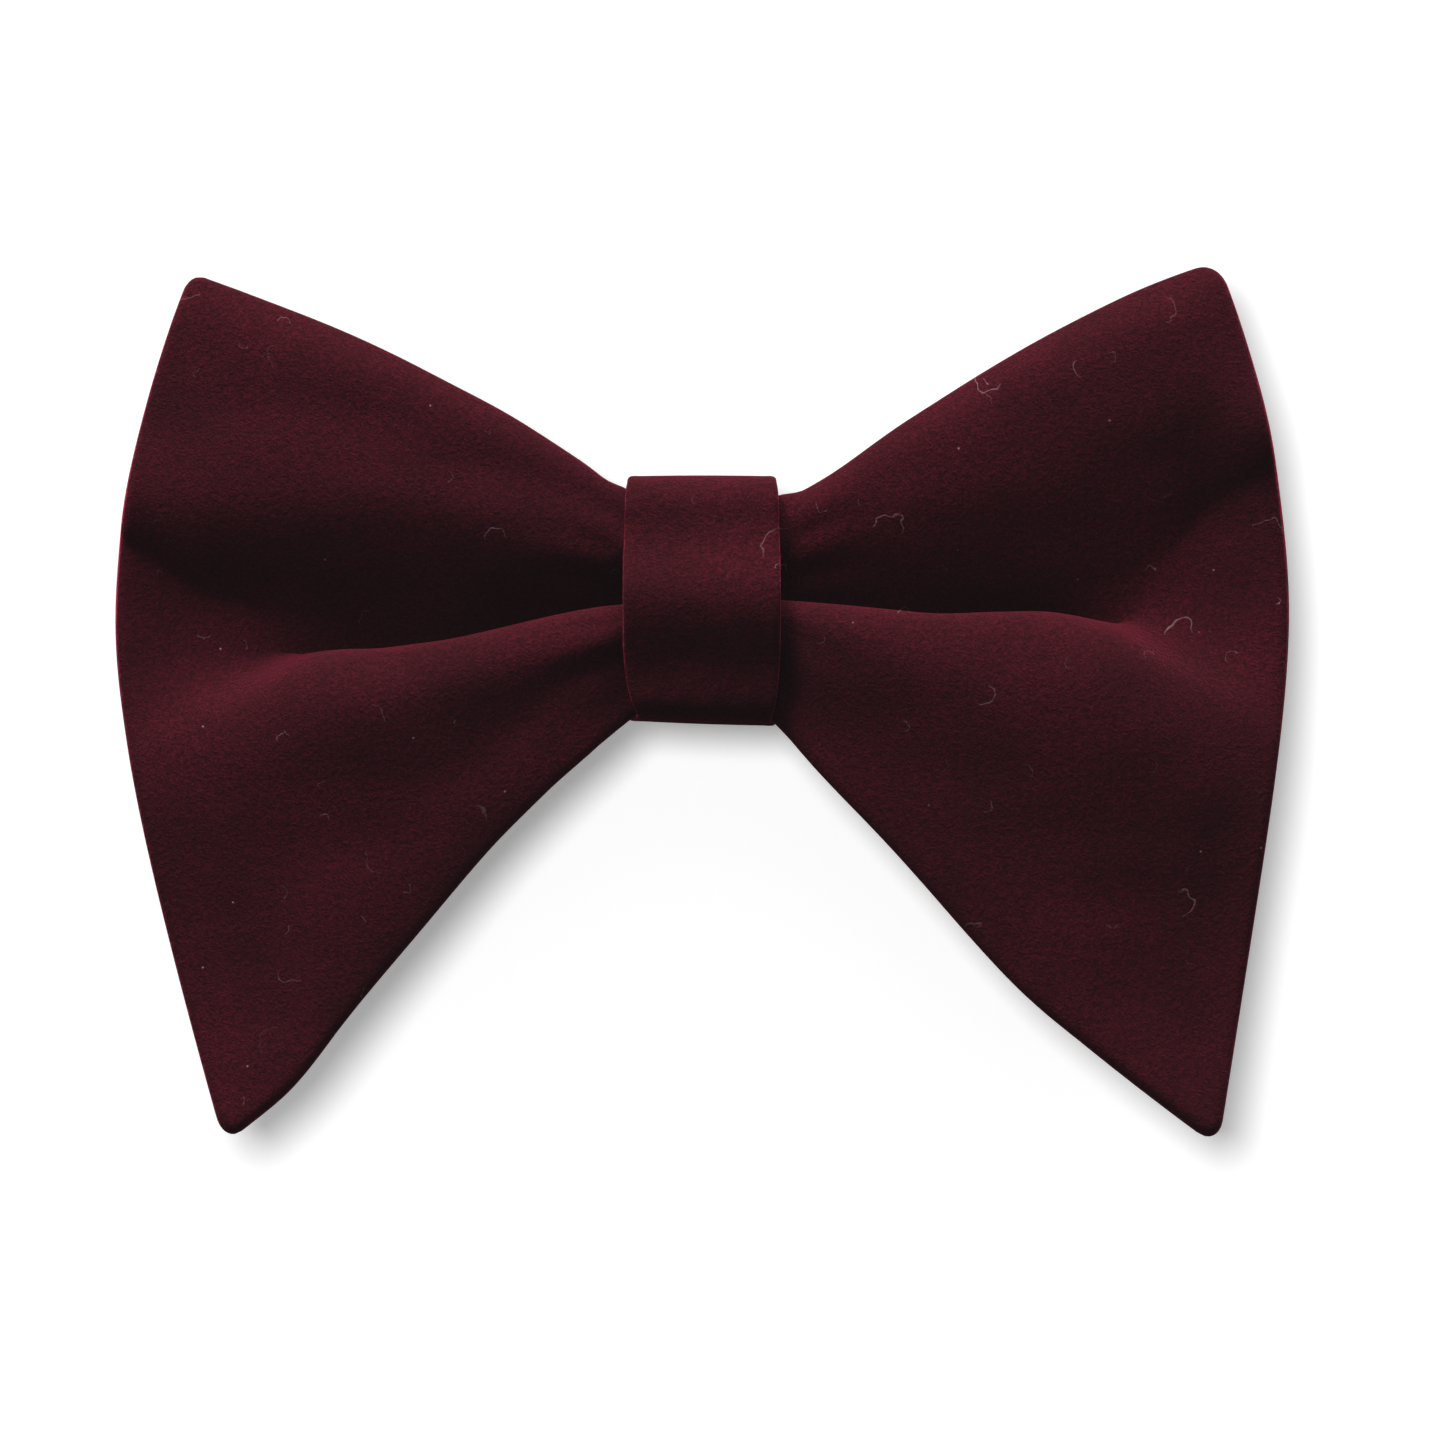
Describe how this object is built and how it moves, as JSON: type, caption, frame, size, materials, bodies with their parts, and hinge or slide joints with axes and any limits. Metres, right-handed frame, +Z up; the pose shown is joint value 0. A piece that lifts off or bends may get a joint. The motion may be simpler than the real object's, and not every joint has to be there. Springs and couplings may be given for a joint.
{
  "type": "clip-on butterfly bow tie",
  "caption": "Oversized drooping butterfly bow tie in wine-red velvet, pleated wings gathered by a knot band, with sprung collar clips behind it.",
  "frame": {"origin": "centre of the flat back of the knot band, where it rests on the shirt collar at its top button", "axes": "+X along the bow to the right as a viewer facing the wearer sees it, +Y from the bow's front towards the wearer, +Z up as worn"},
  "size_m": [0.15, 0.0257, 0.1106],
  "materials": {
    "wine_velvet": "short cut pile, soft sheen, closest to the light along folds and edges",
    "band_velvet": "short cut pile, folded edges",
    "canvas": "plain woven cotton canvas",
    "lining_satin": "smooth satin lining",
    "thread": "twisted polyester sewing thread",
    "nickel_plate": "satin nickel plate with fine handling scratches",
    "spring_steel": "drawn spring wire",
    "pin_steel": "turned steel"
  },
  "bodies": {
    "root": {"front_velvet_panel": "wine_velvet", "back_velvet_panel": "wine_velvet", "bow_interlining": "canvas", "knot_band": "band_velvet", "knot_band_lining": "lining_satin", "waist_binding_thread": "thread", "band_seam_stitches": "thread", "bridge_plate": "nickel_plate", "right_clip_base": "nickel_plate", "right_hinge_pin": "pin_steel", "right_clip_rivets": "pin_steel", "right_clip_spring": "spring_steel", "left_clip_base": "nickel_plate", "left_hinge_pin": "pin_steel", "left_clip_rivets": "pin_steel", "left_clip_spring": "spring_steel"},
    "right_lever": {"right_clip_lever": "nickel_plate"},
    "left_lever": {"left_clip_lever": "nickel_plate"}
  },
  "joints": [
    {"name": "right_jaw", "type": "hinge", "parent": "root", "child": "right_lever", "pos_m": [0.02, 0.0013, 0], "axis": [0, 0, 1], "range_deg": [0, 27], "stiffness_Nm_per_rad": 0.04, "springref_deg": -28.65, "deforming": ["right_clip_spring"]},
    {"name": "left_jaw", "type": "hinge", "parent": "root", "child": "left_lever", "pos_m": [-0.02, 0.0013, 0], "axis": [0, 0, -1], "range_deg": [0, 27], "stiffness_Nm_per_rad": 0.04, "springref_deg": -28.65, "deforming": ["left_clip_spring"]}
  ]
}
